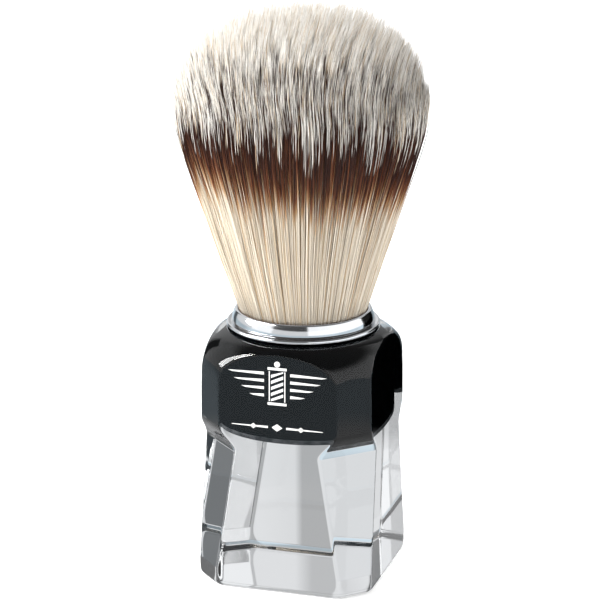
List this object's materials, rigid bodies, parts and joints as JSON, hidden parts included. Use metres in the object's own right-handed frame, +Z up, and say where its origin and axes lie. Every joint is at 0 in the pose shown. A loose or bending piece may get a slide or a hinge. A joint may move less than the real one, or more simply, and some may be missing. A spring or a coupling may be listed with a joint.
{
  "type": "shaving brush",
  "caption": "Shaving brush with a domed three-tone fibre knot in a chrome ferrule, on a clear block handle with cut corners around a black socket.",
  "frame": {"origin": "middle of the handle's flat base, on the surface it stands on", "axes": "+Z up along the brush, front face with the printed badge along -Y"},
  "size_m": [0.0498, 0.0498, 0.1152],
  "materials": {
    "clear_acrylic": "polished clear acrylic",
    "black_cement": "matte",
    "black_plastic": "glossy moulded",
    "chrome": "polished plate",
    "epoxy": "cured glue",
    "potting_resin": "cured resin",
    "waxed_thread": "waxed",
    "fibre": "fine crimped filament, cream root, brown band, off-white tips",
    "print": "white printed ink"
  },
  "bodies": {
    "root": {"handle_block": "clear_acrylic", "cup_cement": "black_cement", "insert_cup": "black_plastic", "ferrule": "chrome", "knot_adhesive": "epoxy", "resin_plug": "potting_resin", "root_binding": "waxed_thread", "fibre_knot": "fibre"}
  },
  "joints": []
}
